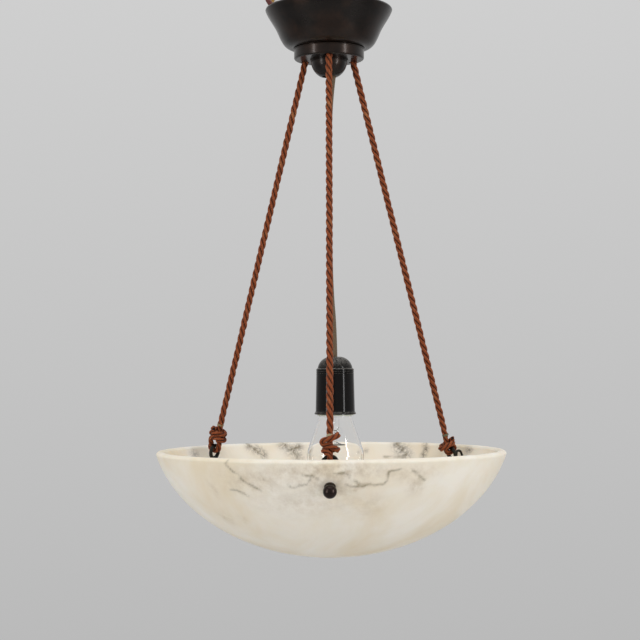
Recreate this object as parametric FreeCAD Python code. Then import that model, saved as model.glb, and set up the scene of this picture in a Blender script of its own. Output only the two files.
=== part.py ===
import FreeCAD, Part
import math
import os

# Alabaster bowl pendant. Millimetres, +Z up, origin at the centre of the suspension eye's bore.
# +X is to the right of someone who faces the lamp, and the front rope hangs towards -Y.

# Running clearances
thread_fit = 0.05            # between a thread's plain core and its bore, on the radius
slip_fit = 0.10              # between pieces that push together, on the radius
soft_gap = 0.30              # round ropes, flex and wires, and between curved faces

# Suspension loop, cast brass
eye_bore_r = 8.5
eye_outer_r = 14.0
eye_thickness = 7.0
eye_above_rim = 14.0         # from the top of the cup's rim up to the eye's centre
eye_neck_r = 5.5
hub_r = 9.0
hub_height = 26.0
hub_thread = 10.0            # depth of the thread that takes the stem tube
chamber_r = 6.0
hub_top_wall = 3.0
window_half_width = 3.8
window_height = 9.4
edge_break = 0.6             # small chamfers on turned and cast brass

# Stem tube, lock nut and washer inside the cup
tube_r = 5.0
tube_bore_r = 4.0
nut_across_flats = 17.0
nut_height = 5.0
cup_washer_r = 13.0
cup_washer_thickness = 1.5

# Ceiling cup, spun brass
cup_height = 42.3            # from the underside of its floor to the top of the rim
cup_wall = 1.2
cup_rim_r = 64.0             # to the middle of the rolled rim
cup_bead_r = 2.5
cup_floor_r = 37.4
cup_side = ((0.421, 0.147), (0.586, 0.350), (0.789, 0.598), (0.985, 0.799))  # of width, height

# Rope collar, turned brass dish
collar_r = 36.7
collar_height = 11.6
collar_wall = 2.6
collar_plate = 3.0
collar_corner = 2.0
collar_bead_r = 0.7          # thin ring at the collar's upper edge

# Dome finial, turned brass
dome_r = 19.0
dome_flange_r = 20.0
dome_flange_thickness = 1.3
dome_height = 17.4
dome_thread = 7.0
dome_hole_r = 7.5
dome_lip = 1.1               # height of the rounded edge of the hole

# Ropes, three strands laid together
rope_r = 3.5
rope_tight_r = 2.9           # where the knot pulls the strands together
rope_narrowing = 9.0         # length of the change between the two, above the knot
rope_top_r = 29.4            # from the lamp's axis, at the underside of the collar
rope_foot_r = 147.2          # the same, at the height of the bowl's rim
rope_hole_clearance = 0.8
stopper_r = 9.4
stopper_length = 16.5
stopper_waist = 1.3
stopper_seat = 2.1           # along the slanting rope, clear of the cup's flat floor
stopper_stub = 5.0
drop_to_rim = 409.1          # from the underside of the collar to the bowl's rim
hang_angles = {"front": -90.0, "right": 30.0, "left": 150.0}

# Knots. Each height is measured along the rope from the crown of the hook's eye.
knot_leg_top = 2.8
knot_neck = 8.2
knot_bend_r = 5.2            # where a leg turns into the neck and into the wrap
knot_wrap_r = 7.5
knot_wrap_from = 45.0        # degrees round the rope at the first height, and from one to the next
knot_wrap_step = 60.0
knot_wrap_heights = {
    "front": (8.0, 9.6, 10.4, 10.8, 11.5, 13.0, 14.9),
    "right": (8.0, 9.6, 10.4, 10.9),
    "left": (8.0, 9.6, 10.4, 10.9, 11.9, 13.4, 15.0, 16.2, 17.3, 18.2),
}
knot_stub = {"front": (-2.4, -2.8, 3.6), "right": (5.4, 5.8, 0.4), "left": (4.6, 5.4, 0.6)}
knot_turn = {"front": -1, "right": -1, "left": 1}

# Alabaster bowl: a slice of an ellipsoid
bowl_semi_width = 189.0
bowl_semi_height = 143.5
bowl_centre_above_rim = 31.5
bowl_wall = 9.0
bowl_floor = 10.5
bowl_lip_drop = 4.0          # the rounded lip begins this far under the rim
bowl_arcs = 5
hook_hole_r = 3.0
hook_height = -26.4          # of the hooks' holes on the outer wall, from the rim

# Hooks, forged iron, with their nuts and washers
shank_r = 2.5
shank_in_ball = 8.0
shoulder_r = 5.0
shoulder_thickness = 2.5
hook_eye_r = 7.0             # to the middle of the eye's rod
hook_eye_rod_r = 2.0
hook_reach = {"front": 18.0, "right": 12.6, "left": 18.0}
hook_lean = {"front": -8.0, "right": -19.0, "left": -8.0}
hook_tail = ((-4.0, -1.0), (-4.6, 9.6), (-9.6, 9.2), (-12.6, 1.6))  # inward, up from the foot
hook_tail_r = 1.3
ball_r = 6.65
ball_neck_r = 4.2
ball_neck_length = 0.8
outer_washer_r = 5.6
outer_washer_thickness = 1.7
inner_washer_r = 7.0
inner_washer_thickness = 1.5
washer_seat = 0.1            # a flat washer on the stone's rounded outer wall
hollow_seat = 0.3            # the same on its hollow inner wall, where the edge meets it first

# Flex, two cores in a round textile jacket
flex_r = 2.6
flex_x = 4.6                 # it hangs against the edge of the finial's hole
flex_pivot_rise = 1.3        # the bend at the hole, above the finial's lower edge
core_r = 0.9
core_spacing = 2.5

# Terminal block beside the cup's rim
block_size = (11.0, 14.0, 14.0)
supply_bends = ((0.25, 1.5, -16.0), (0.469, 5.0, -14.0), (0.688, 9.0, -8.5), (0.891, 10.8, -1.0),
                (0.988, 11.0, 5.6), (1.031, 10.8, 15.5), (1.044, 7.0, 23.5))  # share of cup_rim_r,
                             # sideways, up from the cup's rim
block_funnel_r = 1.6
block_funnel_depth = 5.0
block_screw_r = 1.7
block_screw_depth = 3.0

# Lampholder, moulded bakelite, E27
holder_above_rim = 97.5      # top of the holder above the bowl's rim
holder_height = 60.5
holder_cap_height = 19.2
holder_dome_height = 11.0
holder_dome_r = 18.15
holder_band_r = 19.8
holder_groove = 0.45
holder_wall = 2.2
holder_mouth_r = 20.6
holder_flare_r = 21.7
holder_flare_height = 4.6
holder_entry_r = 3.2
ring_height = 8.0
ring_shows = 1.4
spigot_r = 17.4
spigot_height = 4.0
insert_r = 15.4
insert_height = 8.0
insert_depth = 15.0          # from the holder's top to the insert's upper face
ledge_r = 14.4
ledge_height = 2.0
screw_shell_r = 13.95
screw_shell_wall = 0.5
screw_shell_length = 22.0
grip_r = 5.4
grip_height = 5.0
terminal_screw_r = 1.8
terminal_offset = 8.6
contact_width = 5.0
contact_thickness = 0.5
rivet_r = 1.0
rivet_x = 1.2
side_rivet_x = 8.6

# Bulb, clear glass
lamp_cap_r = 13.15
lamp_cap_rim_r = 13.9
lamp_tip_depth = 25.3        # contact tip under the holder's top
lamp_cap_length = 26.4
lamp_tip_r = 4.2
lamp_insulator_r = 9.2
glass_r = 30.0
glass_length = 110.2         # from the contact tip to the bottom of the glass
glass_neck_r = 12.6
glass_shoulder_r = 14.6
glass_shoulder_drop = 29.3    # under the contact tip
glass_cone_angle = 18.5
glass_wall = 0.9
stem_r = 4.0
stem_length = 27.0
stem_tip = 14.6              # from the flat end of the stem to the bottom of its button
wire_r = 0.35
filament_r = 11.0
filament_drop = 15.5         # from the flat end of the stem to the filament
support_drop = 12.6

# Heights worked out from the sizes above
rim_top = -eye_above_rim
cup_under = rim_top - cup_height
cup_inside = cup_under + cup_wall
collar_under = cup_under - collar_height
dome_mouth = collar_under - dome_height
bowl_rim = collar_under - drop_to_rim
bowl_centre = bowl_rim + bowl_centre_above_rim
hub_base = cup_inside + cup_washer_thickness + nut_height
hub_top = hub_base + hub_height
tube_top = hub_base + hub_thread
tube_foot = collar_under - dome_thread
holder_top = bowl_rim + holder_above_rim
holder_mouth = holder_top - holder_height
flex_pivot = dome_mouth + flex_pivot_rise
flex_in_tube = tube_bore_r - flex_r - soft_gap

vector = FreeCAD.Vector
up = vector(0, 0, 1)


def profile(start, steps):
    """Closed face in the XZ plane. A step is a point, or a middle and an end point of an arc."""
    edges = []
    here = vector(start[0], 0, start[1])
    first = here
    for step in steps:
        there = vector(step[-2], 0, step[-1])
        if len(step) == 4:
            edges.append(Part.Arc(here, vector(step[0], 0, step[1]), there).toShape())
        else:
            edges.append(Part.LineSegment(here, there).toShape())
        here = there
    edges.append(Part.LineSegment(here, first).toShape())
    return Part.Face(Part.Wire(edges))


def turned(start, steps, x=0.0):
    """Solid turned about a vertical axis at x from a half outline of (radius, height)."""
    solid = profile(start, steps).revolve(vector(0, 0, 0), up, 360)
    solid.translate(vector(x, 0, 0))
    return solid


def flowing(start, heading, points, inset=0.0):
    """Arc steps through points, each leaving in the direction the last one arrived in.

    heading is in degrees from the X direction. inset moves the arcs to their left.
    """
    steps = []
    x, z = start
    angle = math.radians(heading)
    for px, pz in points:
        lean = math.atan2(pz - z, px - x)
        sag = math.hypot(px - x, pz - z) / 2 * math.tan((lean - angle) / 2)
        angle = 2 * lean - angle
        steps.append(((x + px) / 2 + (sag - inset) * math.sin(lean),
                      (z + pz) / 2 - (sag - inset) * math.cos(lean),
                      px - inset * math.sin(angle), pz + inset * math.cos(angle)))
        x, z = px, pz
    return steps


def backwards(start, steps):
    """The same arcs walked from their far end back to start."""
    ends = [tuple(start)] + [step[2:] for step in steps]
    return [steps[k][:2] + ends[k] for k in range(len(steps) - 1, -1, -1)]


def rod(a, b, radius):
    return Part.makeCylinder(radius, (b - a).Length, a, b - a)


def placed(shape, at, direction):
    """Copy of a shape made along +Z from the origin, set at a point along a direction."""
    copy = shape.copy()
    copy.Placement = FreeCAD.Placement(at, FreeCAD.Rotation(up, direction))
    return copy


def hexagonal(across, height, base):
    points = []
    for k in range(7):
        angle = math.radians(60 * k)
        corner = across / 2 / math.cos(math.pi / 6)
        points.append(vector(corner * math.cos(angle), corner * math.sin(angle), base))
    prism = Part.Face(Part.makePolygon(points)).extrude(vector(0, 0, height))
    edge = across / 2 / math.cos(math.pi / 6)
    crown = turned((0, base), [(across / 2, base), (edge + 0.1, base + 1.2),
                               (edge + 0.1, base + height - 1.2),
                               (across / 2, base + height), (0, base + height)])
    return prism.common(crown)


# Ropes and flex: straight runs joined by arcs that touch both

def arc_radius(before, corner, after, given):
    back = before - corner
    ahead = after - corner
    half_turn = (math.pi - back.getAngle(ahead)) / 2
    if given:
        return given, half_turn
    return 0.45 * min(back.Length, ahead.Length) / math.tan(half_turn), half_turn


def route(points, radii=None):
    """Edges of a path through the corners in points, and the radius of each bend."""
    radii = radii or {}
    edges = []
    bends = []
    here = points[0]
    for k in range(1, len(points) - 1):
        corner = points[k]
        radius, half_turn = arc_radius(points[k - 1], corner, points[k + 1], radii.get(k))
        back = (points[k - 1] - corner).normalize()
        ahead = (points[k + 1] - corner).normalize()
        reach = radius * math.tan(half_turn)
        start = corner + back * reach
        end = corner + ahead * reach
        inward = (back + ahead).normalize()
        middle = corner + inward * (radius / math.cos(half_turn) - radius)
        if (start - here).Length > 1e-3:
            edges.append(Part.LineSegment(here, start).toShape())
        edges.append(Part.Arc(start, middle, end).toShape())
        bends.append(radius)
        here = end
    edges.append(Part.LineSegment(here, points[-1]).toShape())
    return edges, bends


def tube(name, points, radius, radii=None):
    """Round tube along a route. Prints its bends, its least gap to itself and its volume."""
    edges, bends = route(points, radii)
    spine = Part.Wire(edges)
    first = points[1] - points[0]
    ring = Part.Wire(Part.Circle(points[0], first, radius).toShape())
    solid = spine.makePipeShell([ring], True, False)
    section = math.pi * radius * radius
    print(name, "length", round(spine.Length, 1), "tightest bend", round(min(bends), 1),
          "volume over section x length", round(solid.Volume / section / spine.Length, 4),
          "least gap to itself", round(self_gap(spine, radius), 2))
    return solid


def self_gap(spine, radius):
    """Least space between parts of a tube that lie over four diameters apart along it."""
    spacing = radius / 2
    points = spine.discretize(Distance=spacing)
    apart = int(8 * radius / spacing)
    least = 1e9
    bins = {}
    for k, p in enumerate(points):
        cell = (int(p.x // 20), int(p.y // 20), int(p.z // 20))
        bins.setdefault(cell, []).append(k)
    for (i, j, m), members in bins.items():
        near = [q for a in (-1, 0, 1) for b in (-1, 0, 1) for c in (-1, 0, 1)
                for q in bins.get((i + a, j + b, m + c), [])]
        for k in members:
            for q in near:
                if q > k + apart:
                    least = min(least, (points[k] - points[q]).Length - 2 * radius)
    return least


# Stone wall: where it is and which way it faces

def wall_radius(height, semi_width=bowl_semi_width, semi_height=bowl_semi_height):
    drop = (height - bowl_centre) / semi_height
    return semi_width * math.sqrt(1 - drop * drop)


def hook_seat():
    """Radius, height, inward direction and stone thickness at a hook's hole."""
    height = bowl_rim + hook_height
    radius = wall_radius(height)
    nx = radius / bowl_semi_width ** 2
    nz = (height - bowl_centre) / bowl_semi_height ** 2
    size = math.hypot(nx, nz)
    inward = (-nx / size, -nz / size)
    depth = bowl_wall
    for _ in range(20):
        r = radius + inward[0] * depth
        z = height + inward[1] * depth
        inner = wall_radius(z, bowl_semi_width - bowl_wall, bowl_semi_height - bowl_floor)
        depth += r - inner
    return radius, height, inward, depth


seat_r, seat_z, seat_inward, stone_thickness = hook_seat()


def around(side, radius, height):
    """Point at a hanging place, from its radius and height."""
    angle = math.radians(hang_angles[side])
    return vector(radius * math.cos(angle), radius * math.sin(angle), height)


def inward_at(side):
    angle = math.radians(hang_angles[side])
    return vector(seat_inward[0] * math.cos(angle), seat_inward[0] * math.sin(angle), seat_inward[1])


def arm_end(side):
    """End of a hook's straight arm, which is the foot of its eye, as radius and height."""
    along = stone_thickness + hook_reach[side]
    return seat_r + seat_inward[0] * along, seat_z + seat_inward[1] * along


def eye_up(side):
    lean = math.radians(hook_lean[side])
    return math.sin(lean), math.cos(lean)


def eye_crown(side):
    """Middle of the rod at the top of a hook's eye, as radius and height."""
    r, z = arm_end(side)
    ur, uz = eye_up(side)
    return r + 2 * hook_eye_r * ur, z + 2 * hook_eye_r * uz


# Ceiling fitting

def suspension_loop():
    top = hub_top
    hub = turned((tube_r + thread_fit, hub_base),
                 [(hub_r - edge_break, hub_base), (hub_r, hub_base + edge_break),
                  (hub_r, top - 3), (hub_r - 0.9, top - 0.9, eye_neck_r, top),
                  (0, top), (0, top - hub_top_wall), (chamber_r, top - hub_top_wall),
                  (chamber_r, tube_top), (tube_r + thread_fit, tube_top)])
    neck = Part.makeCone(eye_neck_r, eye_neck_r - 0.8, -eye_outer_r + 4 - top, vector(0, 0, top))
    half = eye_thickness / 2
    ring = turned((eye_bore_r, -half),
                  [(eye_outer_r - 1.5, -half), (eye_outer_r, 0, eye_outer_r - 1.5, half),
                   (eye_bore_r, half)])
    ring = ring.rotate(vector(0, 0, 0), vector(1, 0, 0), 90)
    bore = rod(vector(0, -eye_thickness, 0), vector(0, eye_thickness, 0), eye_bore_r)
    body = hub.fuse(neck).fuse(ring).cut(bore)
    opening = Part.makeBox(hub_r + 2, 2 * window_half_width, window_height,
                           vector(-hub_r - 2, -window_half_width, tube_top + 2.2))
    return body.cut(opening)


def stem_tube():
    outer = turned((tube_bore_r, tube_foot),
                   [(tube_r - edge_break, tube_foot), (tube_r, tube_foot + edge_break),
                    (tube_r, tube_top - edge_break), (tube_r - edge_break, tube_top),
                    (tube_bore_r, tube_top)])
    return outer


def cup_washer():
    low = cup_inside
    return turned((tube_r + soft_gap, low), [(cup_washer_r, low),
                                             (cup_washer_r, low + cup_washer_thickness),
                                             (tube_r + soft_gap, low + cup_washer_thickness)])


def lock_nut():
    base = cup_inside + cup_washer_thickness
    nut = hexagonal(nut_across_flats, nut_height, base)
    return nut.cut(Part.makeCylinder(tube_r + thread_fit, nut_height, vector(0, 0, base)))


def rope_line(side):
    """Top point at the collar's underside, and the direction down the taut rope."""
    top = around(side, rope_top_r, collar_under)
    foot = around(side, rope_foot_r, bowl_rim)
    return top, (foot - top).normalize()


def rope_bores(length_up, length_down):
    bores = []
    for side in hang_angles:
        top, down = rope_line(side)
        bores.append(rod(top - down * length_up, top + down * length_down,
                         rope_r + rope_hole_clearance))
    return bores


def ceiling_cup():
    """Bell in one even sheet, from the floor up to the rolled rim."""
    start = (cup_floor_r, cup_under)
    width = cup_rim_r - cup_floor_r
    points = [(cup_floor_r + share * width, cup_under + rise * cup_height)
              for share, rise in cup_side]
    bead = cup_bead_r
    rim_z = rim_top - bead
    points.append((cup_rim_r + bead, rim_z))
    outer = flowing(start, 0, points)
    inner = flowing(start, 0, points[:-1], cup_wall)
    roll_end = (cup_rim_r - bead * 0.93, rim_z - bead * 0.37)
    steps = [start] + outer
    steps.append((cup_rim_r - bead * 0.35, rim_z + bead * 0.936) + roll_end)
    steps.append(inner[-1][2:])
    steps += backwards((cup_floor_r, cup_inside), inner)
    steps.append((tube_r + soft_gap, cup_inside))
    cup = turned((tube_r + soft_gap, cup_under), steps)
    for bore in rope_bores(3 * collar_height, 0):
        cup = cup.cut(bore)
    return cup


def rope_collar():
    low = collar_under
    top = cup_under
    c = collar_corner
    steps = [(collar_r - c, low),
             (collar_r - c * 0.293, low + c * 0.293, collar_r, low + c),
             (collar_r, top - 2 * collar_bead_r),
             (collar_r + collar_bead_r, top - collar_bead_r, collar_r, top),
             (collar_r - collar_wall, top),
             (collar_r - collar_wall, low + collar_plate),
             (2 * tube_r, low + collar_plate), (2 * tube_r, top), (tube_r + soft_gap, top)]
    collar = turned((tube_r + soft_gap, low), steps)
    for bore in rope_bores(2 * collar_height, collar_height):
        collar = collar.cut(bore)
    return collar


def dome_finial():
    top = collar_under
    flange = top - dome_flange_thickness
    lip = dome_mouth + dome_lip
    curve = flowing((dome_r, flange), -90, [(dome_hole_r + 1.9, dome_mouth + 0.05),
                                            (dome_hole_r, lip)])
    steps = [(dome_flange_r, top), (dome_flange_r, flange), (dome_r, flange)] + curve
    steps += [(dome_hole_r, tube_foot), (tube_r + thread_fit, tube_foot)]
    return turned((tube_r + thread_fit, top), steps)


# Ropes

def knot_points(side):
    """Corners of the knotted end, from the long run down to the rope's cut end."""
    top, down = rope_line(side)
    angle = math.radians(hang_angles[side])
    sideways = vector(-math.sin(angle), math.cos(angle), 0)
    rise = down * -1
    outward = sideways.cross(rise).normalize()
    if outward.dot(around(side, 1, 0)) < 0:
        outward = outward * -1
    crown = around(side, *eye_crown(side))
    across = (crown - top).dot(outward)
    origin = crown - outward * across
    turn = knot_turn[side]
    loop_r = hook_eye_rod_r + soft_gap + rope_tight_r
    local = [(0, 0, knot_neck), (across - loop_r, 0, knot_leg_top),
             (across - loop_r, 0, -loop_r), (across + loop_r, 0, -loop_r),
             (across + loop_r, 0, knot_leg_top)]
    for k, height in enumerate(knot_wrap_heights[side]):
        phi = math.radians(knot_wrap_from + knot_wrap_step * k)
        local.append((knot_wrap_r * math.cos(phi), -knot_wrap_r * math.sin(phi), height))
    end = local[-1]
    local.append(tuple(end[i] + knot_stub[side][i] for i in range(3)))
    return [origin + outward * u + sideways * (v * turn) + rise * w for u, v, w in local], loop_r


def rope(side):
    top, down = rope_line(side)
    floor = top - down * ((cup_inside - collar_under) / -down.z)
    stopper_base = floor - down * stopper_seat
    start = stopper_base - down * (stopper_length + stopper_stub)
    knot, loop_r = knot_points(side)
    narrow_from = knot[0] - down * (rope_narrowing + knot_neck)
    narrow_to = knot[0] - down * knot_neck
    print("rope_" + side, "straight run to the knot", round((narrow_to - start).Length, 1))
    body = tube("rope_" + side + " knot", [narrow_to] + knot, rope_tight_r,
                {2: knot_bend_r, 3: loop_r, 4: loop_r, 5: knot_bend_r})
    body = body.fuse(rod(start, narrow_from, rope_r))
    body = body.fuse(Part.makeCone(rope_r, rope_tight_r, rope_narrowing, narrow_from, down))
    half = stopper_length / 2
    dip = stopper_r - stopper_waist
    bulge = turned((0, 0), [(rope_r + 2, 0),
                            (stopper_r, half * 0.45, dip, half),
                            (stopper_r, half * 1.55, rope_r + 2, stopper_length),
                            (0, stopper_length)])
    return body.fuse(placed(bulge, stopper_base, down * -1))


# Bowl and what hangs it

def bowl_wall_arcs(semi_width, semi_height, top):
    """Bottom point of the wall's curve, and its arcs out and up to a height near the rim."""
    bottom = (0.0, bowl_centre - semi_height)
    last = math.asin((top - bowl_centre) / semi_height)
    points = []
    for k in range(1, bowl_arcs + 1):
        t = -math.pi / 2 + (last + math.pi / 2) * k / bowl_arcs
        points.append((semi_width * math.cos(t), bowl_centre + semi_height * math.sin(t)))
    return bottom, flowing(bottom, 0, points)


def alabaster_bowl():
    lip = bowl_rim - bowl_lip_drop
    low, outer = bowl_wall_arcs(bowl_semi_width, bowl_semi_height, lip)
    floor, inner = bowl_wall_arcs(bowl_semi_width - bowl_wall, bowl_semi_height - bowl_floor, lip)
    r_out = outer[-1][2]
    r_in = inner[-1][2]
    steps = outer + [((r_out + r_in) / 2, bowl_rim, r_in, lip)] + backwards(floor, inner)
    bowl = turned(low, steps)
    for side in hang_angles:
        at = around(side, seat_r, seat_z)
        inward = inward_at(side)
        bowl = bowl.cut(rod(at - inward * 5, at + inward * (stone_thickness + 5), hook_hole_r))
    return bowl


def hook(side):
    seat = around(side, seat_r, seat_z)
    inward = inward_at(side)
    outside = washer_seat + outer_washer_thickness + shank_in_ball
    foot = around(side, *arm_end(side))
    shank = rod(seat - inward * outside, foot, shank_r)
    seat_in = seat + inward * (stone_thickness + hollow_seat + inner_washer_thickness)
    shoulder = placed(turned((0, 0), [(shoulder_r, 0), (shoulder_r, shoulder_thickness - 0.8),
                                      (shoulder_r - 0.8, shoulder_thickness),
                                      (0, shoulder_thickness)]), seat_in, inward)
    ur, uz = eye_up(side)
    r, z = arm_end(side)
    centre = around(side, r + hook_eye_r * ur, z + hook_eye_r * uz)
    facing = around(side, uz, 0) + up * -ur
    eye = Part.makeTorus(hook_eye_r, hook_eye_rod_r, centre, facing)
    elbow = Part.makeSphere(shank_r, foot)
    body = shank.fuse(shoulder).fuse(elbow).fuse(eye)
    if side == "right":
        points = [around(side, r - inward_r, z + rise) for inward_r, rise in hook_tail]
        body = body.fuse(tube("hook_tail", points, hook_tail_r))
    return body


def outer_washers():
    disc = Part.makeCylinder(outer_washer_r, outer_washer_thickness)
    disc = disc.cut(Part.makeCylinder(shank_r + slip_fit, outer_washer_thickness))
    discs = []
    for side in hang_angles:
        outward = inward_at(side) * -1
        discs.append(placed(disc, around(side, seat_r, seat_z) + outward * washer_seat, outward))
    return Part.Compound(discs)


def inner_washers():
    disc = Part.makeCylinder(inner_washer_r, inner_washer_thickness)
    disc = disc.cut(Part.makeCylinder(shank_r + slip_fit, inner_washer_thickness))
    discs = []
    for side in hang_angles:
        inward = inward_at(side)
        at = around(side, seat_r, seat_z) + inward * (stone_thickness + hollow_seat)
        discs.append(placed(disc, at, inward))
    return Part.Compound(discs)


def ball_nut(side):
    """Ball with a short neck, bored blind for the shank."""
    depth = math.sqrt(ball_r ** 2 - ball_neck_r ** 2)
    centre = ball_neck_length + depth
    bore = shank_r + thread_fit
    shape = turned((bore, 0), [(ball_neck_r, 0), (ball_neck_r, ball_neck_length),
                               (ball_r, centre, 0, centre + ball_r),
                               (0, shank_in_ball + 0.5), (bore, shank_in_ball + 0.2)])
    outward = inward_at(side) * -1
    at = around(side, seat_r, seat_z) + outward * (washer_seat + outer_washer_thickness)
    return placed(shape, at, outward)


# Flex and terminal block

def supply_flex():
    """From the bend at the finial's hole up the stem, over the rim to the terminal block."""
    corner = vector(flex_in_tube, 0, tube_foot - 1.6)
    pivot = vector(flex_x, 0, flex_pivot)
    start = pivot + (corner - pivot).normalize() * (flex_r + soft_gap)
    points = [start, corner, vector(flex_in_tube, 0, hub_top - hub_top_wall - 5.4)]
    for share, sideways, rise in supply_bends:
        points.append(vector(-share * cup_rim_r, -sideways, rim_top + rise))
    return tube("supply_flex", points, flex_r), points


def supply_cores():
    points = supply_flex_points
    end = points[-1]
    on = (end - points[-2]).normalize()
    entry_x = block_size[0] / 2 - cup_rim_r
    top = block_top()
    cores = []
    for sign in (-1, 1):
        start = end + vector(0, sign * (core_r + 0.25), 0)
        start = start - on * (start - end).dot(on)
        above = start + on * 6.5
        over = vector(entry_x, sign * core_spacing, above.z + 0.6)
        inside = vector(entry_x, sign * core_spacing, top - block_funnel_depth + 1)
        cores.append(tube("supply_core", [start, above, over, inside], core_r))
    return Part.Compound(cores)


def block_top():
    return rim_top + soft_gap + block_size[2]


def terminal_block():
    length, depth, height = block_size
    base = vector(-cup_rim_r, -depth / 2, rim_top + soft_gap)
    block = Part.makeBox(length, depth, height, base)
    block = block.makeChamfer(0.8, block.Edges)
    waist = Part.makeBox(length + 2, 2.0, 3.0, vector(-cup_rim_r - 1, -1.0, block_top() - 3))
    block = block.cut(waist)
    x = length / 2 - cup_rim_r
    for sign in (-1, 1):
        y = sign * core_spacing
        funnel = rod(vector(x, y, block_top() - block_funnel_depth), vector(x, y, block_top()),
                     block_funnel_r)
        screw = rod(vector(x, sign * depth / 2, base.z + height / 2),
                    vector(x, sign * (depth / 2 - block_screw_depth), base.z + height / 2),
                    block_screw_r + slip_fit)
        block = block.cut(funnel).cut(screw)
    return block


def terminal_screws():
    length, depth, height = block_size
    x = length / 2 - cup_rim_r
    z = rim_top + soft_gap + height / 2
    screws = []
    for sign in (-1, 1):
        inner = vector(x, sign * (depth / 2 - block_screw_depth), z)
        outer = vector(x, sign * (depth / 2 - 0.6), z)
        head = rod(inner, outer, block_screw_r)
        slot = Part.makeBox(0.6, 1.6, 4, vector(x - 0.3, outer.y - 0.8, z - 2))
        screws.append(head.cut(slot))
    return Part.Compound(screws)


def drop_flex():
    """Straight down from the bend at the finial to the grip inside the lampholder."""
    end = holder_top - holder_wall - grip_height - 1.5
    pivot = vector(flex_x, 0, flex_pivot)
    body = rod(pivot, vector(flex_x, 0, end), flex_r)
    return body.fuse(Part.makeSphere(flex_r, pivot))


# Lampholder

def holder_z(depth):
    return holder_top - depth


def holder_cap():
    h = holder_z
    inside = holder_dome_r - holder_wall
    g = holder_groove
    steps = [(holder_entry_r + 1, h(0)),
             (holder_dome_r * 0.76, h(holder_dome_height * 0.33), holder_dome_r,
              h(holder_dome_height)),
             (holder_dome_r, h(11.8)), (holder_band_r, h(13.2)),
             (holder_band_r, h(14.6)), (holder_band_r - g, h(15.0)),
             (holder_band_r, h(15.4)), (holder_band_r, h(16.8)),
             (holder_band_r - g, h(17.2)), (holder_band_r, h(17.6)),
             (holder_band_r, h(holder_cap_height)),
             (spigot_r + slip_fit, h(holder_cap_height)),
             (spigot_r + slip_fit, h(holder_cap_height - spigot_height - 0.4)),
             (inside, h(holder_cap_height - spigot_height - 0.4)),
             (inside, h(holder_dome_height)),
             (inside * 0.76, h(holder_dome_height * 0.33 + holder_wall), holder_entry_r,
              h(holder_wall + 0.4))]
    return turned((holder_entry_r, h(0.8)), steps, flex_x)


def holder_sleeve():
    h = holder_z
    joint = holder_cap_height
    low = holder_height
    ledge = insert_depth + insert_height
    bore = insert_r + slip_fit
    steps = [(spigot_r, h(joint - spigot_height)), (spigot_r, h(joint)),
             (holder_band_r - 0.05, h(joint)),
             (holder_mouth_r, h(low - holder_flare_height)),
             (holder_mouth_r + 0.1, h(low - holder_flare_height + 1.2), holder_flare_r,
              h(low - 1.4)),
             (holder_flare_r - 0.1, h(low - 0.2), holder_flare_r - 1.2, h(low)),
             (holder_mouth_r - 1.6, h(low)),
             (holder_mouth_r - 2.4, h(low - 1.6)),
             (holder_mouth_r - 2.4, h(low - ring_height - 0.5)),
             (holder_band_r - holder_wall, h(low - ring_height - 0.5)),
             (holder_band_r - holder_wall, h(ledge + ledge_height + 2)),
             (ledge_r, h(ledge + ledge_height)), (ledge_r, h(ledge)), (bore, h(ledge))]
    return turned((bore, h(joint - spigot_height)), steps, flex_x)


def holder_ring():
    """Porcelain ring in the sleeve's mouth, which shows as a pale edge under the flare."""
    h = holder_z
    bore = holder_band_r - holder_wall - 0.3
    low = holder_height
    steps = [(holder_mouth_r - 2.4 - slip_fit, h(low - ring_height)),
             (holder_mouth_r - 2.4 - slip_fit, h(low - 1.6)),
             (holder_mouth_r - 1.6 - slip_fit, h(low)),
             (holder_mouth_r - 1.6 - slip_fit, h(low + ring_shows)),
             (bore + 0.6, h(low + ring_shows)), (bore, h(low - 2.5))]
    return turned((bore, h(low - ring_height)), steps, flex_x)


def holder_insert():
    """Porcelain disc with a raised bridge between the terminals and two wire ways."""
    top = holder_z(insert_depth)
    base = top - insert_height
    puck = turned((0, base), [(insert_r, base), (insert_r, top - 1), (insert_r - 1, top), (0, top)],
                  flex_x)
    contact_way = rod(vector(flex_x, 0, base), vector(flex_x, 0, base + 3), contact_width / 2 + 1)
    puck = puck.cut(contact_way)
    for sign in (-1, 1):
        pocket = Part.makeBox(7, 9, 4, vector(flex_x + sign * terminal_offset - 3.5, -4.5, top - 4))
        puck = puck.cut(pocket)
    for x in (rivet_x, -side_rivet_x):
        puck = puck.cut(rod(vector(flex_x + x, 0, base), vector(flex_x + x, 0, top),
                            rivet_r + slip_fit))
    return puck


def insert_screws():
    top = holder_z(insert_depth)
    screws = []
    for sign in (-1, 1):
        x = flex_x + sign * terminal_offset
        head = Part.makeCylinder(terminal_screw_r + 0.9, 1.8, vector(x, 0, top - 2.4))
        plate = Part.makeBox(5, 7, 1.6, vector(x - 2.5, -3.5, top - 4))
        slot = Part.makeBox(0.7, 8, 0.9, vector(x - 0.35, -4, top - 1.3))
        screws.append(head.fuse(plate).cut(slot))
    return Part.Compound(screws)


def screw_shell():
    top = holder_z(insert_depth + insert_height)
    low = top - screw_shell_length
    inner = screw_shell_r - screw_shell_wall
    opening = contact_width / 2 + 2.5
    shell = turned((opening, top),
                   [(screw_shell_r, top), (screw_shell_r, low + 0.6),
                    (screw_shell_r + 0.3, low), (inner + 0.3, low), (inner, low + 0.6),
                    (inner, top - screw_shell_wall), (opening, top - screw_shell_wall)], flex_x)
    hole = Part.makeCylinder(rivet_r + slip_fit, 2, vector(flex_x - side_rivet_x, 0, top - 1))
    return shell.cut(hole)


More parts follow.
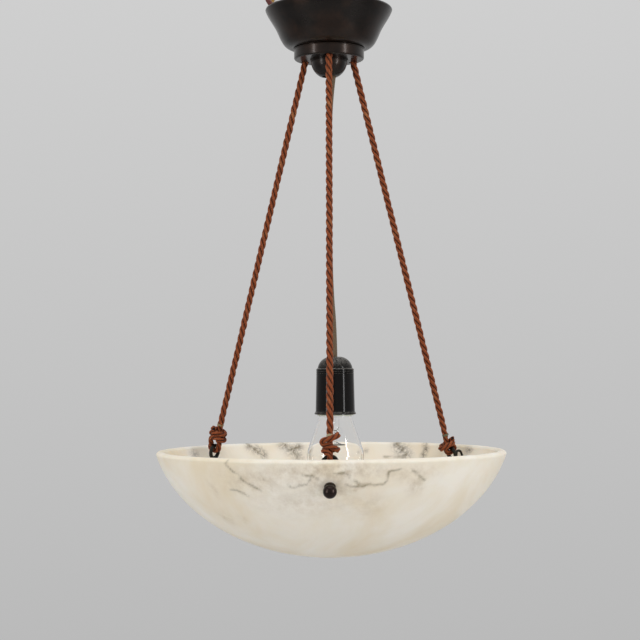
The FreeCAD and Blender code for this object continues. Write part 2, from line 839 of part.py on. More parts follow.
def centre_contact():
    """Springy strip: riveted in the insert's recess, bent down to meet the bulb's tip."""
    top = holder_z(insert_depth + insert_height) + 3 - soft_gap
    low = holder_z(lamp_tip_depth) + soft_gap
    t = contact_thickness
    half = contact_width / 2
    outline = profile((half * 0.9, top), [(half * 0.9, top - t), (-half * 0.4, top - t),
                                          (-half * 0.4 + 0.4, low + t), (half, low + t),
                                          (half, low), (-half * 0.4 - 0.5, low),
                                          (-half * 0.4 - 0.9, top)])
    strip = outline.extrude(vector(0, 3.2, 0))
    strip.translate(vector(flex_x, -1.6, 0))
    hole = Part.makeCylinder(rivet_r + slip_fit, 2, vector(flex_x + rivet_x, 0, top - 1.5))
    return strip.cut(hole)


def cord_grip():
    """Split clamp round the flex, seated under the cap's entry."""
    top = holder_z(holder_wall + 0.9)
    ring = turned((flex_r + soft_gap, top - grip_height),
                  [(grip_r, top - grip_height), (grip_r, top - 1.2), (grip_r - 1.0, top),
                   (flex_r + soft_gap, top)], flex_x)
    split = Part.makeBox(0.8, 12, grip_height, vector(flex_x - 0.4, 0, top - grip_height))
    return ring.cut(split)


def contact_rivets():
    """One holds the centre strip, the other joins a terminal to the screw shell."""
    top = holder_z(insert_depth)
    base = top - insert_height
    strip_low = base + 3 - soft_gap - contact_thickness
    shell_low = base - screw_shell_wall
    rivets = []
    for x, low, high in ((rivet_x, strip_low, top), (-side_rivet_x, shell_low, top - 4)):
        rivets.append(turned((0, low - 0.6), [(rivet_r + 0.7, low - 0.6), (rivet_r + 0.7, low),
                                              (rivet_r, low), (rivet_r, high), (0, high)],
                             flex_x + x))
    return Part.Compound(rivets)


# Bulb

def lamp_cap():
    top = holder_z(lamp_tip_depth + 4.2)
    low = holder_z(lamp_tip_depth + lamp_cap_length)
    wall = 0.5
    return turned((lamp_insulator_r, top),
                  [(lamp_cap_r - 1.2, top), (lamp_cap_r, top - 1.4), (lamp_cap_r, low + 5),
                   (lamp_cap_rim_r, low + 3.6), (lamp_cap_rim_r, low),
                   (lamp_cap_rim_r - wall, low), (lamp_cap_rim_r - wall, low + 3.4),
                   (lamp_cap_r - wall, low + 4.8), (lamp_cap_r - wall, top - 1.6),
                   (lamp_cap_r - 1.5, top - wall), (lamp_insulator_r, top - wall)], flex_x)


def lamp_insulator():
    top = holder_z(lamp_tip_depth + 1.1)
    low = holder_z(lamp_tip_depth + 4.2)
    return turned((0, low), [(lamp_insulator_r, low), (lamp_tip_r + 0.6, top), (0, top)], flex_x)


def lamp_tip():
    top = holder_z(lamp_tip_depth)
    low = holder_z(lamp_tip_depth + 1.1)
    dome = flowing((0, top), 0, [(lamp_tip_r, low)])
    return turned((0, top), dome + [(0, low)], flex_x)


def glass_outline(inset):
    """Sphere, cone and neck of the glass, moved inwards by inset, from the bottom upwards."""
    centre = holder_z(lamp_tip_depth + glass_length - glass_r)
    theta = math.radians(glass_cone_angle)
    r = glass_r - inset
    nx, nz = math.cos(theta), math.sin(theta)
    low = (0.0, centre - r)
    equator = (r * math.cos(-theta), centre - r * math.sin(theta))
    tangent = (r * nx, centre + r * nz)
    shoulder = (glass_shoulder_r - inset * nx, holder_z(lamp_tip_depth + glass_shoulder_drop) - inset * nz)
    neck = (glass_neck_r - inset, holder_z(lamp_tip_depth + lamp_cap_length - 1.5))
    return low, equator, tangent, shoulder, neck


def bulb_glass():
    low, equator, tangent, shoulder, neck = glass_outline(0)
    bend = (neck[0] + 0.7, (neck[1] + shoulder[1]) / 2)
    ilow, iequator, itangent, ishoulder, ineck = glass_outline(glass_wall)
    ibend = (bend[0] - glass_wall, bend[1] - 0.1)
    return turned(low, [equator + tangent, shoulder, bend + neck, ineck, ibend + ishoulder,
                        itangent, iequator + ilow], flex_x)


def bulb_stem():
    top = holder_z(lamp_tip_depth + lamp_cap_length - 1.5)
    end = top - stem_length
    r = glass_neck_r - glass_wall - soft_gap
    bottom = (0, end - stem_tip)
    button = flowing(bottom, 0, [(1.9, end - stem_tip + 1.7), (1.1, end - stem_tip + 3.4)])
    return turned(bottom, button + [(1.1, end - 1), (stem_r - 1.2, end), (stem_r, end + 4),
                                    (stem_r, top - 7), (stem_r + 1.2, top - 3, r, top - 1),
                                    (r, top), (0, top)], flex_x)


def bulb_filament():
    """Two leads that carry an open arc of filament, with thin supports from the stem's button."""
    top = holder_z(lamp_tip_depth + lamp_cap_length - 1.5) - stem_length
    level = top - filament_drop
    points = [vector(flex_x - 2.2, 0, top + 1.0)]
    for k in range(7):
        angle = math.radians(180 + 50 * k)
        points.append(vector(flex_x + filament_r * math.cos(angle),
                             filament_r * math.sin(angle), level))
    points.append(vector(flex_x + 2.2, -0.8, top + 1.0))
    wire = tube("bulb_filament", points, wire_r)
    solids = [wire]
    for k in (2, 4):
        angle = math.radians(180 + 50 * k + 25)
        reach = filament_r * math.cos(math.radians(25)) - wire_r
        tip = vector(flex_x + reach * math.cos(angle), reach * math.sin(angle), level)
        root = vector(flex_x + 1.6 * math.cos(angle), 1.6 * math.sin(angle), top - support_drop)
        solids.append(rod(root, tip, wire_r * 0.7))
    return Part.Compound(solids)


supply_flex_solid, supply_flex_points = supply_flex()

nodes = {
    "suspension_loop": suspension_loop(),
    "stem_tube": stem_tube(),
    "cup_washer": cup_washer(),
    "lock_nut": lock_nut(),
    "ceiling_cup": ceiling_cup(),
    "rope_collar": rope_collar(),
    "dome_finial": dome_finial(),
    "supply_flex": supply_flex_solid,
    "supply_cores": supply_cores(),
    "terminal_block": terminal_block(),
    "terminal_screws": terminal_screws(),
    "alabaster_bowl": alabaster_bowl(),
    "outer_washers": outer_washers(),
    "inner_washers": inner_washers(),
    "drop_flex": drop_flex(),
    "cord_grip": cord_grip(),
    "holder_cap": holder_cap(),
    "holder_sleeve": holder_sleeve(),
    "holder_ring": holder_ring(),
    "holder_insert": holder_insert(),
    "insert_screws": insert_screws(),
    "screw_shell": screw_shell(),
    "centre_contact": centre_contact(),
    "contact_rivets": contact_rivets(),
    "lamp_cap": lamp_cap(),
    "lamp_insulator": lamp_insulator(),
    "lamp_tip": lamp_tip(),
    "bulb_glass": bulb_glass(),
    "bulb_stem": bulb_stem(),
    "bulb_filament": bulb_filament(),
}
for side in hang_angles:
    nodes["rope_" + side] = rope(side)
    nodes["hook_" + side] = hook(side)
    nodes["ball_nut_" + side] = ball_nut(side)

os.makedirs("parts", exist_ok=True)
for name, shape in nodes.items():
    shape.exportStep("parts/" + name + ".step")
    print(name, "solids", len(shape.Solids), "valid", shape.isValid(), "volume", round(shape.Volume))
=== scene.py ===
import math

import bpy
import numpy as np
from mathutils import Matrix, Vector, noise


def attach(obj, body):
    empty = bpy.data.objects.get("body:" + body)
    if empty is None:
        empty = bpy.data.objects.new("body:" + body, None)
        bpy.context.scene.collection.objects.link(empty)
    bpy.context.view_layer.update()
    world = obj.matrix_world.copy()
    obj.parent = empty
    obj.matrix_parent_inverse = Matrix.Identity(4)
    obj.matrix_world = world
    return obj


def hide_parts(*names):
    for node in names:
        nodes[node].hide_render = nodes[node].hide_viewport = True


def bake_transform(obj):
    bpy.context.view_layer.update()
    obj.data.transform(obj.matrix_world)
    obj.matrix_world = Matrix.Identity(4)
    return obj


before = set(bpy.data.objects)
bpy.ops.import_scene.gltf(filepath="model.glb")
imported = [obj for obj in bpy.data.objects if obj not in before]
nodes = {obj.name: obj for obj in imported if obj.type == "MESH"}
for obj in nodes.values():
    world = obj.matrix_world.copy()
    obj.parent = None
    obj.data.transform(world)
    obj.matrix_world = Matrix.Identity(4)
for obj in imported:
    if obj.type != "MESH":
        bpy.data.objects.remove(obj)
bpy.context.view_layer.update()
scene = bpy.context.scene
print("frame loaded:", len(nodes), "nodes")


# Small tools

def hexColor(text):
    channels = [int(text[i:i + 2], 16) / 255 for i in (1, 3, 5)]
    linear = [c / 12.92 if c <= 0.04045 else ((c + 0.055) / 1.055) ** 2.4 for c in channels]
    return (*linear, 1.0)


def addNode(tree, kind, inputs=None, **settings):  # a socket in inputs is linked, a value is set
    node = tree.nodes.new(kind)
    for name, value in settings.items():
        setattr(node, name, value)
    for key, value in (inputs or {}).items():
        if isinstance(value, bpy.types.NodeSocket):
            tree.links.new(value, node.inputs[key])
        else:
            node.inputs[key].default_value = value
    return node


def newMaterial(name, color, **values):
    material = bpy.data.materials.new(name)
    material.use_nodes = True
    tree = material.node_tree
    shader = tree.nodes["Principled BSDF"]
    shader.inputs["Base Color"].default_value = hexColor(color)
    for key, value in values.items():
        shader.inputs[key.replace("_", " ")].default_value = value
    return material, tree, shader


def paint(nodeNames, material):
    for nodeName in nodeNames:
        mesh = nodes[nodeName].data
        mesh.materials.clear()
        mesh.materials.append(material)
        if not mesh.has_custom_normals:
            mesh.shade_smooth()


def meshObject(name, vertices, faces, material, smooth=True):
    mesh = bpy.data.meshes.new(name)
    mesh.from_pydata(vertices, [], faces)
    mesh.validate()
    if smooth:
        mesh.shade_smooth()
    piece = bpy.data.objects.new(name, mesh)
    scene.collection.objects.link(piece)
    mesh.materials.append(material)
    return piece


# Camera, at the photograph's height and distance

cameraSettings = {
    "place": (-0.0112, -1.672, -0.390),
    "turn": 0.8,             # degrees round the lamp, seen from above
    "roll": 0.3,
    "lens": 89.55,           # mm on a 36 mm sensor
    "shiftUp": 0.073,        # the horizon lies below the middle of the picture
}

cameraData = bpy.data.cameras.new("camera")
cameraData.lens = cameraSettings["lens"]
cameraData.sensor_width = 36
cameraData.shift_y = cameraSettings["shiftUp"]
camera = bpy.data.objects.new("camera", cameraData)
turned = Matrix.Rotation(math.radians(cameraSettings["turn"]), 3, "Z")
camera.location = turned @ Vector(cameraSettings["place"])
camera.rotation_euler = (math.radians(90), math.radians(cameraSettings["roll"]),
                         math.radians(cameraSettings["turn"]))
scene.collection.objects.link(camera)
scene.camera = camera


# Studio: pale backdrop, two tall soft lights and one above

studio = {
    "backdropLow": "#BABABA",
    "backdropMiddle": "#C1C1C1",
    "backdropHigh": "#CFCFCF",
    "fill": "#E9ECF0",
    "fillStrength": 0.60,
    "floorHeight": -1.29,
    "floorRadius": 3.3,
    "floor": "#DDDCD9",
}
softLights = {
    # name: place, aims at, width, height, watts
    "softLeft": ((-1.46, -1.22, -0.15), (0, 0, -0.35), 0.20, 1.5, 11.0),
    "softRight": ((1.54, -1.12, -0.15), (0, 0, -0.35), 0.20, 1.5, 13.0),
    "softAbove": ((0.0, -0.15, 1.05), (0, 0, -0.45), 1.5, 1.5, 10.0),
}

world = bpy.data.worlds.new("studio")
scene.world = world
world.use_nodes = True
sky = world.node_tree
sky.nodes.clear()
direction = addNode(sky, "ShaderNodeSeparateXYZ",
                    {0: addNode(sky, "ShaderNodeTexCoord").outputs["Generated"]})
lowPart = addNode(sky, "ShaderNodeMapRange",
                  {0: direction.outputs[2], 1: -0.17, 2: -0.045, 3: 0.0, 4: 1.0})
highPart = addNode(sky, "ShaderNodeMapRange",
                   {0: direction.outputs[2], 1: -0.045, 2: 0.225, 3: 0.0, 4: 1.0})
lowMix = addNode(sky, "ShaderNodeMix", {0: lowPart.outputs[0], 6: hexColor(studio["backdropLow"]),
                                        7: hexColor(studio["backdropMiddle"])}, data_type="RGBA")
skyMix = addNode(sky, "ShaderNodeMix", {0: highPart.outputs[0], 6: lowMix.outputs[2],
                                        7: hexColor(studio["backdropHigh"])}, data_type="RGBA")
backdrop = addNode(sky, "ShaderNodeBackground", {0: skyMix.outputs[2], 1: 1.0})
fill = addNode(sky, "ShaderNodeBackground", {0: hexColor(studio["fill"]), 1: studio["fillStrength"]})
rays = addNode(sky, "ShaderNodeLightPath")
direct = addNode(sky, "ShaderNodeMath", {0: rays.outputs["Is Camera Ray"],
                                         1: rays.outputs["Is Glossy Ray"]}, operation="MAXIMUM")
seen = addNode(sky, "ShaderNodeMath", {0: direct.outputs[0],
                                       1: rays.outputs["Is Transmission Ray"]}, operation="MAXIMUM")
skyOut = addNode(sky, "ShaderNodeMixShader", {0: seen.outputs[0], 1: fill.outputs[0],
                                              2: backdrop.outputs[0]})
addNode(sky, "ShaderNodeOutputWorld", {0: skyOut.outputs[0]})

for name, (place, aim, width, height, watts) in softLights.items():
    lamp = bpy.data.lights.new(name, "AREA")
    lamp.shape = "RECTANGLE"
    lamp.size = width
    lamp.size_y = height
    lamp.energy = watts
    light = bpy.data.objects.new(name, lamp)
    light.location = place
    light.rotation_euler = (Vector(aim) - Vector(place)).to_track_quat("-Z", "Y").to_euler()
    scene.collection.objects.link(light)

plaster = newMaterial("painted plaster floor", studio["floor"], Roughness=0.85)[0]
ring = [(studio["floorRadius"] * math.cos(math.tau * k / 96),
         studio["floorRadius"] * math.sin(math.tau * k / 96), studio["floorHeight"])
        for k in range(96)]
floor = meshObject("floor", ring, [list(range(96))], plaster, smooth=False)

scene.view_settings.view_transform = "Standard"
print("camera, lights and floor ready")


# Turned brass, darkened to a deep brown in a chemical patina and waxed: satin, with faint turning lines

brassFinish = {
    "dark": "#120A06",
    "worn": "#2E1C11",
    "lineSpacing": 0.0011,   # m between turning lines, coarser than a lathe's feed so that they show
    "roughness": 0.30,
}


def lathePosition(tree):  # place, radius and height, for marks that run round the lamp's axis
    place = addNode(tree, "ShaderNodeTexCoord").outputs["Object"]
    split = addNode(tree, "ShaderNodeSeparateXYZ", {0: place})
    flat = addNode(tree, "ShaderNodeCombineXYZ", {0: split.outputs[0], 1: split.outputs[1]})
    radius = addNode(tree, "ShaderNodeVectorMath", {0: flat.outputs[0]}, operation="LENGTH")
    return place, radius.outputs["Value"], split.outputs[2]


brass, tree, shader = newMaterial("patinated turned brass", brassFinish["dark"], Metallic=0.8)
place, radius, height = lathePosition(tree)
ringsAt = addNode(tree, "ShaderNodeCombineXYZ", {0: radius, 1: height})
lines = addNode(tree, "ShaderNodeTexNoise", {"Vector": ringsAt.outputs[0],
                                             "Scale": 1 / brassFinish["lineSpacing"],
                                             "Detail": 2.0})
cloud = addNode(tree, "ShaderNodeTexNoise", {"Vector": place, "Scale": 28.0, "Detail": 5.0,
                                             "Roughness": 0.6})
worn = addNode(tree, "ShaderNodeMapRange", {0: cloud.outputs[0], 1: 0.42, 2: 0.72, 3: 0.0, 4: 1.0})
tone = addNode(tree, "ShaderNodeMix", {0: worn.outputs[0], 6: hexColor(brassFinish["dark"]),
                                       7: hexColor(brassFinish["worn"])}, data_type="RGBA")
tree.links.new(tone.outputs[2], shader.inputs["Base Color"])
satin = addNode(tree, "ShaderNodeMapRange", {0: cloud.outputs[0], 1: 0.3, 2: 0.7,
                                             3: brassFinish["roughness"] - 0.05,
                                             4: brassFinish["roughness"] + 0.10})
tree.links.new(satin.outputs[0], shader.inputs["Roughness"])
bump = addNode(tree, "ShaderNodeBump", {"Height": lines.outputs[0], "Strength": 0.06,
                                        "Distance": 0.0006})
tree.links.new(bump.outputs[0], shader.inputs["Normal"])
shader.inputs["Coat Weight"].default_value = 0.25
shader.inputs["Coat Roughness"].default_value = 0.18
paint(["suspension_loop", "ceiling_cup", "rope_collar", "dome_finial"], brass)
print("brass painted")


# Smooth lines and tubes for ropes, flexes and threads

def readRoute(points):  # the line of a NURBS route through its corner points, in the row frame
    curve = bpy.data.curves.new("route", "CURVE")
    curve.dimensions = "3D"
    curve.resolution_u = 16
    spline = curve.splines.new("NURBS")
    spline.points.add(len(points) - 1)
    for control, place in zip(spline.points, points):
        control.co = (*place, 1.0)
    spline.order_u = 3
    spline.use_endpoint_u = True
    holder = bpy.data.objects.new("route", curve)
    line = bpy.data.meshes.new_from_object(holder)
    read = [v.co.copy() for v in line.vertices]
    bpy.data.objects.remove(holder)
    bpy.data.curves.remove(curve)
    bpy.data.meshes.remove(line)
    return read


def evenly(line, step):
    spaced = [line[0].copy()]
    left = step
    for a, b in zip(line, line[1:]):
        run = (b - a).length
        done = 0.0
        while run - done >= left:
            done += left
            spaced.append(a.lerp(b, done / run))
            left = step
        left -= run - done
    return spaced


def framesAlong(line):  # direction, and two directions across it that don't spin round it
    last = len(line) - 1
    ahead = [(line[min(k + 1, last)] - line[max(k - 1, 0)]).normalized() for k in range(last + 1)]
    across = ahead[0].orthogonal().normalized()
    frames = []
    for k, direction in enumerate(ahead):
        if k:
            across = ahead[k - 1].rotation_difference(direction) @ across
        across = (across - direction * across.dot(direction)).normalized()
        frames.append((direction, across, direction.cross(across)))
    return frames


def sweep(parts, rows, around):  # rows of (centre, direction, across, side, radius, u, v shift)
    first = rows[0]
    final = rows[-1]
    ends = ((0.94, 0.30), (0.74, 0.62), (0.38, 0.86))  # size and reach of the rings of a round end
    start = [(c - d * r * reach, d, x, y, r * size, u, v)
             for size, reach in reversed(ends) for c, d, x, y, r, u, v in [first]]
    close = [(c + d * r * reach, d, x, y, r * size, u, v)
             for size, reach in ends for c, d, x, y, r, u, v in [final]]
    rows = start + rows + close
    base = len(parts["vertices"])
    for centre, _, across, side, radius, _, _ in rows:
        for j in range(around):
            angle = math.tau * j / around
            parts["vertices"].append(centre + (across * math.cos(angle)
                                               + side * math.sin(angle)) * radius)
    for k in range(len(rows) - 1):
        u0, shift0 = rows[k][5:]
        u1, shift1 = rows[k + 1][5:]
        for j in range(around):
            a = base + k * around + j
            b = base + k * around + (j + 1) % around
            parts["faces"].append((a, b, b + around, a + around))
            low, high = j / around, (j + 1) / around
            parts["uvs"] += [(u0, low + shift0), (u0, high + shift0),
                             (u1, high + shift1), (u1, low + shift1)]
    top = base + (len(rows) - 1) * around
    for ring, u in ((range(base + around - 1, base - 1, -1), first[5]),
                    (range(top, top + around), final[5])):
        parts["faces"].append(tuple(ring))
        parts["uvs"] += [(u, 0.0)] * around
    return len(rows)


def sweptPiece(name, parts, material):
    piece = meshObject(name, parts["vertices"], parts["faces"], material)
    layer = piece.data.uv_layers.new(name="lay")
    layer.data.foreach_set("uv", [c for uv in parts["uvs"] for c in uv])
    if "crown" in parts:
        crown = piece.data.attributes.new("crown", "FLOAT", "POINT")
        crown.data.foreach_set("value", parts["crown"])
    return piece


# Ropes: three strands of hard-spun vegetable fibre laid to the left, stained reddish brown

ropeSettings = {
    "radius": 0.0035,
    "tightRadius": 0.0030,   # in the knot
    "narrowing": 0.009,      # length over which it thins
    "tightFrom": 0.0172,     # above the neck of the knot, where that begins
    "lay": 0.027,            # one full turn of a strand
    "yarnLay": 0.029,        # yarns turn the other way, so they run along the rope on its outside
    "strandOffset": 0.48,    # from the rope's middle to the strand's, times the rope's radius
    "strandRadius": 0.54,
    "wobble": (90, 0.02, 0.035),  # per metre, in the strand's place and in its thickness
    "yarns": 5,
    "step": 0.0009,
    "around": 14,
    "bright": "#AC5A30",
    "mid": "#6E3214",
    # painted shade in the hollows between strands and between yarns
    "grooveShade": "#180602",
    "worn": "#B4784A",
}
ropeRoutes = {
    "front": (
        (0.0000, -0.0192, -0.0324), (0.0000, -0.1330, -0.4278), (0.0000, -0.1446, -0.4681),
        (0.0000, -0.1417, -0.4746), (0.0000, -0.1439, -0.4823), (0.0008, -0.1539, -0.4794),
        (-0.0006, -0.1530, -0.4730), (-0.0062, -0.1500, -0.4706), (-0.0052, -0.1400, -0.4700),
        (0.0038, -0.1378, -0.4700), (0.0078, -0.1430, -0.4698), (0.0050, -0.1502, -0.4682),
        (0.0000, -0.1522, -0.4657), (-0.0076, -0.1496, -0.4646), (-0.0076, -0.1510, -0.4604),
        (0.0000, -0.1530, -0.4594), (0.0056, -0.1504, -0.4566), (0.0083, -0.1480, -0.4549),
    ),
    "right": (
        (0.0166, 0.0096, -0.0324), (0.1161, 0.0670, -0.4314), (0.1262, 0.0728, -0.4718),
        (0.1245, 0.0719, -0.4779), (0.1264, 0.0730, -0.4856), (0.1350, 0.0780, -0.4828),
        (0.1331, 0.0769, -0.4751), (0.1322, 0.0705, -0.4735), (0.1258, 0.0652, -0.4775),
        (0.1195, 0.0680, -0.4812), (0.1196, 0.0760, -0.4790), (0.1262, 0.0800, -0.4740),
        (0.1322, 0.0760, -0.4712), (0.1322, 0.0710, -0.4692),
    ),
    "left": (
        (-0.0166, 0.0096, -0.0324), (-0.1152, 0.0665, -0.4278), (-0.1253, 0.0723, -0.4681),
        (-0.1227, 0.0708, -0.4746), (-0.1246, 0.0719, -0.4823), (-0.1332, 0.0769, -0.4794),
        (-0.1322, 0.0758, -0.4717), (-0.1320, 0.0712, -0.4664), (-0.1262, 0.0652, -0.4668),
        (-0.1194, 0.0654, -0.4704), (-0.1172, 0.0722, -0.4702), (-0.1205, 0.0795, -0.4672),
        (-0.1290, 0.0796, -0.4634), (-0.1322, 0.0728, -0.4612), (-0.1282, 0.0664, -0.4606),
        (-0.1204, 0.0652, -0.4640), (-0.1162, 0.0706, -0.4636), (-0.1196, 0.0780, -0.4606),
        (-0.1274, 0.0760, -0.4576), (-0.1298, 0.0694, -0.4566), (-0.1284, 0.0646, -0.4572),
    ),
}
stopperSettings = {
    "turns": 3,
    "pointsPerTurn": 12,
    "from": 0.0200,          # along the rope from its upper end
    "rise": 0.0118,
    "reach": 0.0062,
    "looseness": 0.0003,
    "radius": 0.0026,
}

# The fibre is matt, with rubbed paler patches; painted shade darkens it where the strands turn in
# towards each other and between the yarns, so the crowns of the strands stand paler
ropeFibre, tree, shader = newMaterial("laid sisal rope, stained", ropeSettings["mid"],
                                      Roughness=0.75, Specular_IOR_Level=0.25)
uv = addNode(tree, "ShaderNodeUVMap", uv_map="lay").outputs[0]
crown = addNode(tree, "ShaderNodeAttribute", attribute_name="crown").outputs["Fac"]
yarnPhase = addNode(tree, "ShaderNodeVectorMath", {0: uv, 1: (0, math.tau * ropeSettings["yarns"], 0)},
                    operation="DOT_PRODUCT")
yarn = addNode(tree, "ShaderNodeMath", {0: yarnPhase.outputs["Value"]}, operation="SINE")
yarnHeight = addNode(tree, "ShaderNodeMapRange", {0: yarn.outputs[0], 1: -1.0, 2: 0.4, 3: 0.0, 4: 1.0})
fibreAt = addNode(tree, "ShaderNodeVectorMath", {0: uv, 1: (260.0, 34.0, 1.0)}, operation="MULTIPLY")
fibre = addNode(tree, "ShaderNodeTexNoise", {"Vector": fibreAt.outputs[0], "Scale": 1.0,
                                             "Detail": 3.0, "Roughness": 0.6})
patchAt = addNode(tree, "ShaderNodeVectorMath", {0: uv, 1: (60.0, 1.6, 1.0)}, operation="MULTIPLY")
patches = addNode(tree, "ShaderNodeTexNoise", {"Vector": patchAt.outputs[0], "Scale": 1.0,
                                               "Detail": 2.0})
# Painted shade: the colour falls to the dark shade colour where a strand turns in towards its neighbours
# (low crown) and, less, in the gaps between yarns; rubbed paler patches lie over the rest
depth = addNode(tree, "ShaderNodeMapRange", {0: crown, 1: 0.30, 2: 0.84, 3: 0.0, 4: 1.0})
fibreTone = addNode(tree, "ShaderNodeMapRange", {0: fibre.outputs[0], 1: 0.35, 2: 0.7})
lit = addNode(tree, "ShaderNodeMix", {0: fibreTone.outputs[0], 6: hexColor(ropeSettings["mid"]),
                                      7: hexColor(ropeSettings["bright"])}, data_type="RGBA")
wornPart = addNode(tree, "ShaderNodeMapRange", {0: patches.outputs[0], 1: 0.56, 2: 0.74, 4: 0.55})
worn = addNode(tree, "ShaderNodeMix", {0: wornPart.outputs[0], 6: lit.outputs[2],
                                       7: hexColor(ropeSettings["worn"])}, data_type="RGBA")
yarnGapShade = addNode(tree, "ShaderNodeMapRange", {0: yarnHeight.outputs[0], 1: 0.0, 2: 0.6, 3: 0.78, 4: 1.0})
shade = addNode(tree, "ShaderNodeMath", {0: depth.outputs[0], 1: yarnGapShade.outputs[0]},
                operation="MULTIPLY")
ropeColor = addNode(tree, "ShaderNodeMix", {0: shade.outputs[0], 6: hexColor(ropeSettings["grooveShade"]),
                                            7: worn.outputs[2]}, data_type="RGBA")
tree.links.new(ropeColor.outputs[2], shader.inputs["Base Color"])
relief = addNode(tree, "ShaderNodeMath", {0: fibre.outputs[0], 1: 0.5, 2: yarnHeight.outputs[0]},
                 operation="MULTIPLY_ADD")
bump = addNode(tree, "ShaderNodeBump", {"Height": relief.outputs[0], "Strength": 0.7,
                                        "Distance": 0.0005})
tree.links.new(bump.outputs[0], shader.inputs["Normal"])
shader.inputs["Sheen Weight"].default_value = 0.06
shader.inputs["Sheen Roughness"].default_value = 0.4


def laidRope(name, line, radiusAt, grain):  # grain picks which unevenness it gets
    frames = framesAlong(line)
    rate, swing, swell = ropeSettings["wobble"]
    around = ropeSettings["around"]
    parts = {"vertices": [], "faces": [], "uvs": [], "crown": []}
    for strand in range(3):
        rows = []
        turns = []
        twist = 0.0
        along = 0.0
        for place, (ahead, across, side) in zip(line, frames):
            radius = radiusAt(along)
            turn = strand * math.tau / 3 - twist
            wobble = noise.noise(Vector((along * rate, strand * 7.3, grain)))
            outward = across * math.cos(turn) + side * math.sin(turn)
            centre = place + outward * radius * (ropeSettings["strandOffset"] + swing * wobble)
            thick = radius * (ropeSettings["strandRadius"] + swell * wobble)
            rows.append((centre, ahead, across, side, thick, along, -along / ropeSettings["yarnLay"]))
            turns.append(turn)
            along += ropeSettings["step"]
            lay = ropeSettings["lay"] * radius / ropeSettings["radius"]
            twist += math.tau * ropeSettings["step"] / lay
        count = sweep(parts, rows, around)
        extra = (count - len(rows)) // 2
        turns = [turns[0]] * extra + turns + [turns[-1]] * extra
        # crown: 1 where the strand's surface faces out of the rope, 0 where it faces the other strands;
        # the material paints shade from it
        parts["crown"] += [0.5 + 0.5 * math.cos(math.tau * j / around - turn)
                           for turn in turns for j in range(around)]
    return sweptPiece(name, parts, ropeFibre)


def ropeRadius(neckAt):
    def radiusAt(along):
        share = (along - neckAt + ropeSettings["tightFrom"]) / ropeSettings["narrowing"]
        share = min(1.0, max(0.0, share))
        return ropeSettings["radius"] + share * (ropeSettings["tightRadius"]
                                                 - ropeSettings["radius"])
    return radiusAt


for side, points in ropeRoutes.items():
    title = side.capitalize()
    line = evenly(readRoute(points), ropeSettings["step"])
    neck = Vector(points[2])
    neckAt = min(range(len(line)), key=lambda k: (line[k] - neck).length) * ropeSettings["step"]
    piece = laidRope("rope" + title, line, ropeRadius(neckAt), len(side) * 3.1)
    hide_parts("rope_" + side)
    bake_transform(piece)

    # the stopper above the cup's floor: the rope's spare end wound three times round it
    down = (Vector(points[1]) - Vector(points[0])).normalized()
    flat, over = framesAlong([Vector(points[0]), Vector(points[1])])[0][1:]
    coil = []
    last = stopperSettings["turns"] * stopperSettings["pointsPerTurn"]
    for k in range(last + 1):
        angle = math.tau * k / stopperSettings["pointsPerTurn"]
        reach = stopperSettings["reach"] + stopperSettings["looseness"] * math.sin(k)
        climb = stopperSettings["from"] - stopperSettings["rise"] * k / last
        coil.append(Vector(points[0]) + down * climb
                    + (flat * math.cos(angle) + over * math.sin(angle)) * reach)
    winding = laidRope("stopper" + title, evenly(readRoute(coil), ropeSettings["step"]),
                       lambda along: stopperSettings["radius"], 1.0)
    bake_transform(winding)
print("ropes laid")


# Waxed thread that whips each rope above its knot

threadSettings = {
    "radius": 0.00032,
    "reach": 0.00345,        # from the rope's middle
    "slack": 0.00012,
    "turns": 3,
    "pitch": 0.0007,
    "above": {"front": 0.0122, "right": 0.0068, "left": 0.0155},  # from the neck, along the rope
    # one thread in three tones: the pale front whipping faces the lights, and the darker olive tones of
    # the two back whippings are painted shade
    "litAndShadedTones": {"front": "#C3B794", "right": "#6A6A50", "left": "#9C8862"},
}

for side, points in ropeRoutes.items():
    thread, tree, shader = newMaterial("waxed linen thread, " + side,
                                       threadSettings["litAndShadedTones"][side], Roughness=0.55)
    plies = addNode(tree, "ShaderNodeTexNoise",
                    {"Vector": addNode(tree, "ShaderNodeTexCoord").outputs["Object"],
                     "Scale": 1400.0, "Detail": 2.0})
    plyBump = addNode(tree, "ShaderNodeBump", {"Height": plies.outputs[0], "Strength": 0.5,
                                               "Distance": 0.0002})
    tree.links.new(plyBump.outputs[0], shader.inputs["Normal"])
    upRope = (Vector(points[1]) - Vector(points[2])).normalized()
    across = upRope.orthogonal().normalized()
    along = upRope.cross(across)
    middle = Vector(points[2]) + upRope * threadSettings["above"][side]
    curve = bpy.data.curves.new("whipping" + side.capitalize(), "CURVE")
    curve.dimensions = "3D"
    curve.bevel_depth = threadSettings["radius"]
    curve.bevel_resolution = 3
    curve.use_fill_caps = True
    spline = curve.splines.new("NURBS")
    count = threadSettings["turns"] * 10 + 1
    spline.points.add(count - 1)
    for k, control in enumerate(spline.points):
        angle = math.tau * k / 10
        rise = (k / 10 - threadSettings["turns"] / 2) * threadSettings["pitch"]
        reach = threadSettings["reach"] + threadSettings["slack"] * math.sin(k * 2.3)
        place = middle + upRope * rise + (across * math.cos(angle) + along * math.sin(angle)) * reach
        control.co = (*place, 1.0)
    spline.order_u = 3
    spline.use_endpoint_u = True
    piece = bpy.data.objects.new("whipping" + side.capitalize(), curve)
    scene.collection.objects.link(piece)
    curve.materials.append(thread)
    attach(piece, "bowl")


# Flex: two insulated cores in a braided textile jacket

